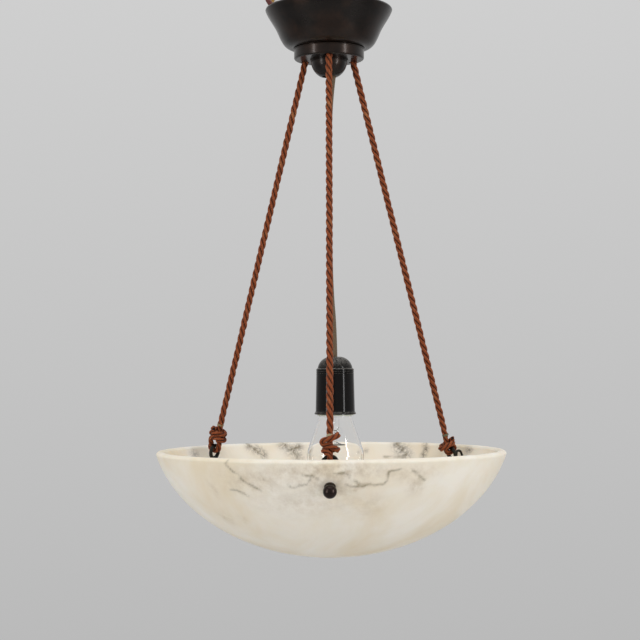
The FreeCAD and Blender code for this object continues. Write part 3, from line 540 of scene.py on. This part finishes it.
flexSettings = {
    "radius": 0.0026,
    "step": 0.0012,
    "around": 24,
    "threads": 14,           # each way round the jacket
}
flexRoutes = {
    "supplyFlex": ((0.0034, 0.0000, -0.0814), (0.0011, 0.0000, -0.0765), (0.0011, 0.0000, -0.0310),
                   (-0.0160, -0.0015, -0.0300), (-0.0300, -0.0050, -0.0280),
                   (-0.0440, -0.0090, -0.0225), (-0.0570, -0.0108, -0.0150),
                   (-0.0632, -0.0110, -0.0084), (-0.0660, -0.0108, 0.0015),
                   (-0.0668, -0.0070, 0.0095)),
    "dropFlex": ((0.0046, 0.0000, -0.0840), (0.0016, 0.0004, -0.1060), (-0.0004, 0.0008, -0.1500),
                 (-0.0006, 0.0004, -0.2400), (0.0008, 0.0000, -0.3100), (0.0042, 0.0000, -0.3500),
                 (0.0046, 0.0000, -0.3882)),
}
flexFacts = {
    # node it replaces, body, length
    "supplyFlex": ("supply_flex", "root", 0.1379),
    "dropFlex": ("drop_flex", "lamp_drop", 0.3042),
}

# Threads of two tones cross in small diamonds, with the soft sheen of cotton and rayon
def braided(name, dark, light):
    material, tree, shader = newMaterial(name, dark, Roughness=0.6, Sheen_Weight=0.25)
    uv = addNode(tree, "ShaderNodeUVMap", uv_map="lay").outputs[0]
    perTurn = math.tau * flexSettings["radius"]
    wave = math.tau * flexSettings["threads"]
    threads = []
    for way in (1, -1):
        phase = addNode(tree, "ShaderNodeVectorMath", {0: uv, 1: (wave / perTurn, way * wave, 0)},
                        operation="DOT_PRODUCT")
        threads.append(addNode(tree, "ShaderNodeMath", {0: phase.outputs["Value"]},
                               operation="SINE").outputs[0])
    cross = addNode(tree, "ShaderNodeMath", {0: threads[0], 1: threads[1]}, operation="MULTIPLY")
    weave = addNode(tree, "ShaderNodeMapRange", {0: cross.outputs[0], 1: -1.0, 2: 1.0})
    tone = addNode(tree, "ShaderNodeMix", {0: weave.outputs[0], 6: hexColor(dark),
                                           7: hexColor(light)}, data_type="RGBA")
    tree.links.new(tone.outputs[2], shader.inputs["Base Color"])
    bump = addNode(tree, "ShaderNodeBump", {"Height": weave.outputs[0], "Strength": 0.5,
                                            "Distance": 0.0003})
    tree.links.new(bump.outputs[0], shader.inputs["Normal"])
    return material


braids = {
    "supplyFlex": braided("braided cotton flex, red brown", "#2E0D0A", "#7A2A20"),
    "dropFlex": braided("braided rayon and cotton flex, olive", "#33271A", "#7A6242"),
}

for name, points in flexRoutes.items():
    node, bodyName, length = flexFacts[name]
    line = evenly(readRoute(points), flexSettings["step"])
    rows = [(place, *frames, flexSettings["radius"], k * flexSettings["step"], 0.0)
            for k, (place, frames) in enumerate(zip(line, framesAlong(line)))]
    parts = {"vertices": [], "faces": [], "uvs": []}
    sweep(parts, rows, flexSettings["around"])
    piece = sweptPiece(name, parts, braids[name])
    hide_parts(node)
    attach(piece, bodyName)

coreRoutes = {
    "coreFront": ((-0.0669, -0.0079, 0.0099), (-0.0675, -0.0052, 0.0158), (-0.0585, -0.0025, 0.0164),
                  (-0.0585, -0.0025, -0.0037)),
    "coreBack": ((-0.0668, -0.0061, 0.0091), (-0.0674, -0.0033, 0.0149), (-0.0585, 0.0025, 0.0155),
                 (-0.0585, 0.0025, -0.0037)),
}
coreSettings = {"radius": 0.0009, "step": 0.0005, "around": 12, "length": 0.033}

# Old rubber, red and half dull, smudged by fingers
insulation, tree, shader = newMaterial("extruded rubber insulation", "#7C2A1C", Roughness=0.45)
smudge = addNode(tree, "ShaderNodeTexNoise",
                 {"Vector": addNode(tree, "ShaderNodeTexCoord").outputs["Object"], "Scale": 300.0})
smudgeRough = addNode(tree, "ShaderNodeMapRange", {0: smudge.outputs[0], 3: 0.35, 4: 0.6})
tree.links.new(smudgeRough.outputs[0], shader.inputs["Roughness"])
for name, points in coreRoutes.items():
    line = evenly(readRoute(points), coreSettings["step"])
    rows = [(place, *frames, coreSettings["radius"], k * coreSettings["step"], 0.0)
            for k, (place, frames) in enumerate(zip(line, framesAlong(line)))]
    parts = {"vertices": [], "faces": [], "uvs": []}
    sweep(parts, rows, coreSettings["around"])
    piece = sweptPiece(name, parts, insulation)
    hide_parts("supply_cores")
    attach(piece, "root")
print("flexes done")


# Bowl: Spanish-type alabaster, turned and polished, with grey-brown cracks and clouds in the stone

bowlShape = {
    "outer": (0.1890, 0.1435),
    "inner": (0.1800, 0.1330),
    "centre": -0.4455,
    "rim": -0.4770,
    "lipDrop": 0.0040,
    "segments": 600,
    "wallRows": 110,
    "lipRows": 14,
    "waviness": 0.0005,      # m, at most, and inwards only
    "waves": (26, 70),       # per metre, slow and quick
    "lipDip": 0.0006,        # the lip's own unevenness
    "hooks": (-90, 30, 150), # degrees round the bowl
    "flatRound": 12,         # mm of calm stone each side of a hook
    "crackWidths": (1.15, 1.4),  # mm, outside and inside
    "jitter": 160,           # per metre, how fast a crack wanders
}
# degrees round the bowl, millimetres up from the rim
cracksOutside = (
    ((-122.5, -2.9), (-123.1, -5.5), (-122.4, -9.4), (-120.4, -13.6), (-119.4, -15.8),
     (-118.0, -22.4), (-116.2, -25.1), (-114.4, -27.7), (-112.7, -31.0)),
    ((-124.4, -31.2), (-121.7, -31.4), (-119.9, -34.1), (-118.4, -36.2)),
    ((-103.0, -24.1), (-102.2, -26.8), (-100.9, -26.7), (-99.3, -24.4), (-97.1, -24.3),
     (-96.5, -20.4), (-95.6, -15.9), (-98.3, -14.9)),
    ((-95.5, -15.4), (-93.9, -18.1)),
    ((-88.8, -13.1), (-85.8, -12.6), (-83.9, -17.1), (-82.1, -21.6), (-80.2, -24.4), (-79.0, -26.2)),
    ((-85.2, -23.8), (-83.0, -26.1), (-80.2, -25.0), (-76.5, -24.6), (-72.8, -24.5),
     (-72.3, -20.3), (-72.3, -16.4), (-71.7, -12.0), (-69.9, -10.9), (-68.4, -10.0)),
    ((-64.5, -10.3), (-62.1, -16.2), (-60.0, -20.4), (-58.9, -22.2)),
    ((12.0, -6.0), (18.0, -14.0), (21.0, -26.0), (27.0, -31.0)),
    ((70.0, -12.0), (78.0, -18.0), (83.0, -17.0), (90.0, -28.0)),
    ((140.0, -9.0), (146.0, -16.0), (150.0, -30.0), (158.0, -34.0)),
)
cracksInside = (
    ((123.7, -0.7), (120.7, -7.1), (118.2, -12.9)), ((108.9, -2.2), (106.4, -9.1), (103.9, -15.9)),
    ((106.4, -9.1), (102.8, -5.8)), ((64.7, -0.7), (62.7, -7.3), (59.6, -13.8)),
    ((69.1, -16.7), (60.7, -16.2)), ((-70.0, -14.0), (-76.0, -24.0), (-84.0, -30.0)),
    ((-130.0, -10.0), (-124.0, -28.0), (-112.0, -36.0)),
)
# degrees, millimetres up from the rim, half width and half height in mm, strength; besides real
# discolouring of the stone, the blots at about -95 and -87 degrees are painted shadow of the front hook
# showing through the stone round its ball, and the broad ones at about -90, -113 and -98 degrees are
# painted shading below the rim at the front
stainsAndShadeOutside = (
    (-110.6, -19.7, 2.0, 2.0, 1.0), (-136.3, -63.0, 12, 6, 0.35), (-126.8, -61.8, 6, 4, 0.35),
    (-131.9, -30.5, 7, 9, 0.30), (-94.7, -25.3, 16, 16, 0.45), (-86.9, -26.3, 14, 15, 0.45),
    (-62.2, -21.9, 8, 12, 0.65), (-60.3, -28.1, 6, 8, 0.45), (-100.1, -19.6, 16, 10, 0.35),
    (-90.0, -11.0, 62, 9, 0.60), (-113.0, -22.0, 40, 15, 0.40), (-98.0, -42.0, 62, 14, 0.30),
    (-64.0, -14.0, 30, 9, 0.35), (-82.4, -29.4, 3, 3, 0.7), (-76.6, -44.7, 20, 14, 0.25),
    (-80.2, -24.4, 10, 4, 0.55),
    (10.0, -22.0, 16, 12, 0.5), (86.0, -20.0, 14, 9, 0.5), (150.0, -24.0, 15, 10, 0.5),
    (45.0, -50.0, 22, 16, 0.3), (120.0, -56.0, 24, 14, 0.3),
)
cloudsInside = (
    (123.0, -3.0, 5, 5, 0.9), (120.0, -8.0, 7, 5, 1.0), (117.5, -13.5, 5, 5, 0.9),
    (108.5, -4.0, 8, 5, 0.8), (105.5, -9.0, 9, 6, 0.9), (103.0, -6.0, 6, 5, 0.8),
    (103.5, -16.0, 7, 6, 0.8), (64.5, -3.0, 7, 5, 0.9), (62.5, -8.0, 9, 6, 1.0),
    (60.0, -14.0, 8, 6, 0.9), (52.8, -2.0, 4, 4, 0.8), (51.8, -7.0, 4, 5, 1.0),
    (52.2, -13.5, 4, 5, 0.9), (76.8, -10.3, 3, 3, 0.6), (152.0, -8.0, 9, 6, 0.6),
    (28.8, -6.0, 7, 3, 0.9), (-80.0, -26.0, 22, 12, 0.5), (-120.0, -30.0, 20, 14, 0.5),
    (0.0, -20.0, 20, 12, 0.4), (180.0, -24.0, 20, 12, 0.4),
)


def bowlProfile():  # radius, height, inside 0 or 1, from the bottom outside over the lip to the floor
    shape = bowlShape
    lip = shape["rim"] - shape["lipDrop"]
    rows = []
    for inside, (width, height) in ((0, shape["outer"]), (1, shape["inner"])):
        last = math.asin((lip - shape["centre"]) / height)
        wall = []
        for k in range(shape["wallRows"] + 1):
            share = 1 - (1 - k / shape["wallRows"]) ** 1.3
            angle = -math.pi / 2 + (last + math.pi / 2) * share
            wall.append((width * math.cos(angle), shape["centre"] + height * math.sin(angle), inside))
        rows.append(wall)
    outer, inner = rows
    mid = (outer[-1][0] + inner[-1][0]) / 2
    half = (outer[-1][0] - inner[-1][0]) / 2
    over = []
    for k in range(1, shape["lipRows"]):
        angle = math.pi * k / shape["lipRows"]
        over.append((mid + half * math.cos(angle), lip + shape["lipDrop"] * math.sin(angle) ** 0.9,
                     0 if k < shape["lipRows"] / 2 else 1))
    return outer[1:] + over + inner[:0:-1]


def nearest(azimuth, height, line):  # distance in mm of many points from a broken line on the wall
    scale = math.radians(1) * 180
    least = np.full(len(azimuth), 1e9)
    for (a0, h0), (a1, h1) in zip(line, line[1:]):
        dx, dy = (a1 - a0) * scale, h1 - h0
        x = ((azimuth - a0 + 180) % 360 - 180) * scale
        y = height - h0
        t = np.clip((x * dx + y * dy) / (dx * dx + dy * dy), 0, 1)
        least = np.minimum(least, np.hypot(x - t * dx, y - t * dy))
    return least


def blots(azimuth, height, spots):
    total = np.zeros(len(azimuth))
    for a, h, width, tall, strength in spots:
        x = ((azimuth - a + 180) % 360 - 180) * math.radians(1) * 180 / width
        y = (height - h) / tall
        total = np.maximum(total, strength * np.exp(-(x * x + y * y)))
    return total


profile = bowlProfile()
count = bowlShape["segments"]
vertices = []
insideFlags = []
hookAt = [math.radians(a) for a in bowlShape["hooks"]]
for radius, z, inside in profile:
    low = (z - bowlShape["rim"]) * 1000
    for k in range(count):
        angle = math.tau * k / count
        place = Vector((radius * math.cos(angle), radius * math.sin(angle), z))
        slow, quick = bowlShape["waves"]
        wave = 0.5 + 0.5 * noise.noise(place * slow) + 0.25 * noise.noise(place * quick)
        near = min(abs((angle - a + math.pi) % math.tau - math.pi) for a in hookAt)
        flat = bowlShape["flatRound"]
        calm = min(1.0, max(0.0, (near * 180 - flat) / flat)) if -45 < low < -10 else 1.0
        shift = bowlShape["waviness"] * min(1.0, max(0.0, wave)) * calm
        reach = 1 - shift / max(radius, 0.02) if not inside else 1 + 0.4 * shift / max(radius, 0.02)
        drop = -bowlShape["lipDip"] * wave if low > -2.5 else 0.0
        vertices.append((place.x * reach, place.y * reach, z + drop))
        insideFlags.append(inside)
faces = []
for row in range(len(profile) - 1):
    for k in range(count):
        a = row * count + k
        b = row * count + (k + 1) % count
        faces.append((a, b, b + count, a + count))
faces.append(tuple(range(count - 1, -1, -1)))
faces.append(tuple(range((len(profile) - 1) * count, len(profile) * count)))

# Light sinks a little way in, so that the stone glows softly and its edges never look hard
stone, tree, shader = newMaterial("polished alabaster", "#EFE9DF", Roughness=0.40)
bowl = meshObject("bowl", vertices, faces, stone)
xyz = np.array(vertices)
warp = np.array([noise.noise_vector(Vector(v) * bowlShape["jitter"]) for v in vertices])[:, :2] * 1.1
azimuth = np.degrees(np.arctan2(xyz[:, 1], xyz[:, 0])) + warp[:, 0] / 3.2
height = (xyz[:, 2] - bowlShape["rim"]) * 1000 + warp[:, 1]
inside = np.array(insideFlags) > 0
crack = np.zeros(len(vertices))
for lines, width, onWall in ((cracksOutside, bowlShape["crackWidths"][0], ~inside),
                             (cracksInside, bowlShape["crackWidths"][1], inside)):
    for line in lines:
        depth = np.exp(-(nearest(azimuth, height, line) / width) ** 2)
        crack = np.maximum(crack, np.where(onWall, depth, 0))
# Outside blots: real discolouring together with painted shadow round the front ball and painted shading
# below the front of the rim
stainAndShade = np.where(inside, 0, blots(azimuth, height, stainsAndShadeOutside))
cloud = np.where(inside, blots(azimuth, height, cloudsInside), 0)
for name, values in (("crack", crack), ("stainAndShade", stainAndShade), ("cloud", cloud)):
    attribute = bowl.data.attributes.new(name, "FLOAT", "POINT")
    attribute.data.foreach_set("value", values.astype(np.float32))
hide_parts("alabaster_bowl")
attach(bowl, "bowl")

stoneFinish = {
    "white": "#F4EDE1",
    "cream": "#E8D9BC",
    # colour of the real discolouring, also used for the painted shadow and shading on the front of the
    # bowl
    "crack": "#7A6B48",
    "stainAndShade": "#AD9671",
    "smoke": "#6B6152",
    "cloudSize": 0.090,      # m
    "networkSize": 0.007,
    "translucence": 0.35,
    "depth": 0.010,
}
place = addNode(tree, "ShaderNodeTexCoord").outputs["Object"]
cloudy = addNode(tree, "ShaderNodeTexNoise", {"Vector": place, "Scale": 1 / stoneFinish["cloudSize"],
                                              "Detail": 6.0, "Roughness": 0.55, "Distortion": 0.6})
cloudPart = addNode(tree, "ShaderNodeMapRange", {0: cloudy.outputs[0], 1: 0.38, 2: 0.68})
ground = addNode(tree, "ShaderNodeMix", {0: cloudPart.outputs[0], 6: hexColor(stoneFinish["white"]),
                                         7: hexColor(stoneFinish["cream"])}, data_type="RGBA")
fine = addNode(tree, "ShaderNodeTexNoise", {"Vector": place, "Scale": 110.0, "Detail": 5.0,
                                            "Roughness": 0.7})
fineStainAndShade = addNode(tree, "ShaderNodeMapRange", {0: fine.outputs[0], 1: 0.35, 2: 0.65})
# Real discolouring, and the painted shadow and shading on the bowl's front, broken up by fine noise
stainAndShadeHere = addNode(tree, "ShaderNodeAttribute", attribute_name="stainAndShade").outputs["Fac"]
stainAndShadePart = addNode(tree, "ShaderNodeMath", {0: stainAndShadeHere, 1: fineStainAndShade.outputs[0]},
                    operation="MULTIPLY")
stained = addNode(tree, "ShaderNodeMix", {0: stainAndShadePart.outputs[0], 6: ground.outputs[2],
                                          7: hexColor(stoneFinish["stainAndShade"])}, data_type="RGBA")
network = addNode(tree, "ShaderNodeTexNoise", {"Vector": place, "Scale": 1 / stoneFinish["networkSize"],
                                               "Detail": 4.0, "Roughness": 0.6, "Distortion": 1.2})
offCentre = addNode(tree, "ShaderNodeMath", {0: network.outputs[0], 1: 0.5}, operation="SUBTRACT")
ridge = addNode(tree, "ShaderNodeMath", {0: offCentre.outputs[0]}, operation="ABSOLUTE")
netPart = addNode(tree, "ShaderNodeMapRange", {0: ridge.outputs[0], 1: 0.0, 2: 0.12, 3: 1.0, 4: 0.25})
cloudHere = addNode(tree, "ShaderNodeAttribute", attribute_name="cloud").outputs["Fac"]
smokePart = addNode(tree, "ShaderNodeMath", {0: cloudHere, 1: netPart.outputs[0]},
                    operation="MULTIPLY")
smoked = addNode(tree, "ShaderNodeMix", {0: smokePart.outputs[0], 6: stained.outputs[2],
                                         7: hexColor(stoneFinish["smoke"])}, data_type="RGBA")
crackHere = addNode(tree, "ShaderNodeAttribute", attribute_name="crack").outputs["Fac"]
crackFine = addNode(tree, "ShaderNodeMapRange", {0: fine.outputs[0], 1: 0.36, 2: 0.62, 3: 0.10, 4: 0.75})
crackPart = addNode(tree, "ShaderNodeMath", {0: crackHere, 1: crackFine.outputs[0]},
                    operation="MULTIPLY")
cracked = addNode(tree, "ShaderNodeMix", {0: crackPart.outputs[0], 6: smoked.outputs[2],
                                          7: hexColor(stoneFinish["crack"])}, data_type="RGBA")
tree.links.new(cracked.outputs[2], shader.inputs["Base Color"])
shader.inputs["Subsurface Weight"].default_value = stoneFinish["translucence"]
shader.inputs["Subsurface Radius"].default_value = (1.0, 0.85, 0.68)
shader.inputs["Subsurface Scale"].default_value = stoneFinish["depth"]
polish = addNode(tree, "ShaderNodeBump", {"Height": fine.outputs[0], "Strength": 0.05,
                                          "Distance": 0.0006})
tree.links.new(polish.outputs[0], shader.inputs["Normal"])
print("bowl turned")


# Hooks: forged iron wire, waxed; balls: blackened and polished brass

# scale is marks per metre: coarse on forged iron, fine on drawn and stamped metal
def hammered(name, color, scale, strength, **values):
    material, tree, shader = newMaterial(name, color, **values)
    place = addNode(tree, "ShaderNodeTexCoord").outputs["Object"]
    marks = addNode(tree, "ShaderNodeTexNoise", {"Vector": place, "Scale": scale, "Detail": 4.0})
    bump = addNode(tree, "ShaderNodeBump", {"Height": marks.outputs[0], "Strength": strength,
                                            "Distance": 0.0008})
    tree.links.new(bump.outputs[0], shader.inputs["Normal"])
    rough = addNode(tree, "ShaderNodeMapRange", {0: marks.outputs[0], 1: 0.3, 2: 0.7,
                                                 3: values["Roughness"] * 0.8,
                                                 4: values["Roughness"] * 1.25})
    tree.links.new(rough.outputs[0], shader.inputs["Roughness"])
    return material


iron = hammered("forged iron, waxed", "#2B2A25", 380.0, 0.35, Metallic=0.85, Roughness=0.42)
ballMetal = hammered("blackened brass, polished", "#2C2320", 160.0, 0.02, Metallic=0.9,
                     Roughness=0.24)
steel = hammered("zinc plated steel", "#8F9093", 240.0, 0.05, Metallic=1.0, Roughness=0.34)
bareBrass = hammered("stamped brass", "#B7924F", 260.0, 0.05, Metallic=1.0, Roughness=0.32)
solder = hammered("solder", "#9D9B95", 500.0, 0.25, Metallic=1.0, Roughness=0.42)
tungsten = hammered("drawn tungsten", "#4E4C4A", 900.0, 0.05, Metallic=1.0, Roughness=0.4)
leather = hammered("cut leather", "#33281A", 900.0, 0.4, Metallic=0.0, Roughness=0.7)
paint(["hook_front", "hook_right", "hook_left"], iron)
paint(["ball_nut_front", "ball_nut_right", "ball_nut_left"], ballMetal)
paint(["stem_tube", "cup_washer", "lock_nut"], steel)
paint(["terminal_screws", "insert_screws", "screw_shell", "centre_contact", "contact_rivets",
       "lamp_cap"], bareBrass)
paint(["lamp_tip"], solder)
paint(["bulb_filament"], tungsten)
paint(["outer_washers", "inner_washers"], leather)


# Lampholder: moulded bakelite, nearly black, glossy where wiped and dusty on top

bakeliteFinish = {"color": "#0B0908", "dust": "#8C8780", "roughness": 0.11}
bakelite, tree, shader = newMaterial("moulded bakelite", bakeliteFinish["color"],
                                     Roughness=bakeliteFinish["roughness"],
                                     Specular_IOR_Level=0.16)
place = addNode(tree, "ShaderNodeTexCoord").outputs["Object"]
facing = addNode(tree, "ShaderNodeSeparateXYZ",
                 {0: addNode(tree, "ShaderNodeNewGeometry").outputs["Normal"]})
upward = addNode(tree, "ShaderNodeMapRange", {0: facing.outputs[2], 1: 0.15, 2: 0.95})
motes = addNode(tree, "ShaderNodeTexNoise", {"Vector": place, "Scale": 420.0, "Detail": 6.0,
                                             "Roughness": 0.75})
moteMask = addNode(tree, "ShaderNodeMapRange", {0: motes.outputs[0], 1: 0.40, 2: 0.72})
settled = addNode(tree, "ShaderNodeMath", {0: upward.outputs[0], 1: moteMask.outputs[0]},
                  operation="MULTIPLY")
film = addNode(tree, "ShaderNodeMapRange", {0: motes.outputs[0], 1: 0.60, 2: 0.80, 4: 0.10})
dusty = addNode(tree, "ShaderNodeMath", {0: settled.outputs[0], 1: film.outputs[0]},
                operation="MAXIMUM")
dustTone = addNode(tree, "ShaderNodeMix", {0: dusty.outputs[0], 6: hexColor(bakeliteFinish["color"]),
                                           7: hexColor(bakeliteFinish["dust"])}, data_type="RGBA")
tree.links.new(dustTone.outputs[2], shader.inputs["Base Color"])
dustRough = addNode(tree, "ShaderNodeMapRange", {0: dusty.outputs[0], 3: bakeliteFinish["roughness"],
                                                 4: 0.8})
tree.links.new(dustRough.outputs[0], shader.inputs["Roughness"])
paint(["holder_cap", "holder_sleeve", "cord_grip"], bakelite)


# Porcelain and glass

# A hard gloss over a pale body, slightly uneven where the glaze pooled
def glazed(name, color, roughness):
    material, tree, shader = newMaterial(name, color, Roughness=roughness)
    place = addNode(tree, "ShaderNodeTexCoord").outputs["Object"]
    pooling = addNode(tree, "ShaderNodeTexNoise", {"Vector": place, "Scale": 90.0, "Detail": 2.0})
    bump = addNode(tree, "ShaderNodeBump", {"Height": pooling.outputs[0], "Strength": 0.12,
                                            "Distance": 0.001})
    tree.links.new(bump.outputs[0], shader.inputs["Normal"])
    shader.inputs["Coat Weight"].default_value = 0.6
    shader.inputs["Coat Roughness"].default_value = 0.08
    return material


paint(["terminal_block", "holder_insert"], glazed("glazed porcelain", "#E8E6DF", 0.25))
paint(["holder_ring"], glazed("pale green glazed porcelain", "#C4C8BB", 0.28))
paint(["lamp_insulator"], glazed("fused black glass", "#0C0C0E", 0.12))

# Blown glass: clear, with the slow ripple that bends its highlights
glass, tree, shader = newMaterial("blown soda glass", "#FFFFFF", Roughness=0.0, IOR=1.5)
shader.inputs["Transmission Weight"].default_value = 1.0
ripple = addNode(tree, "ShaderNodeTexNoise",
                 {"Vector": addNode(tree, "ShaderNodeTexCoord").outputs["Object"], "Scale": 35.0})
glassBump = addNode(tree, "ShaderNodeBump", {"Height": ripple.outputs[0], "Strength": 0.05,
                                             "Distance": 0.0010})
tree.links.new(glassBump.outputs[0], shader.inputs["Normal"])
paint(["bulb_glass", "bulb_stem"], glass)
print("all pieces painted")
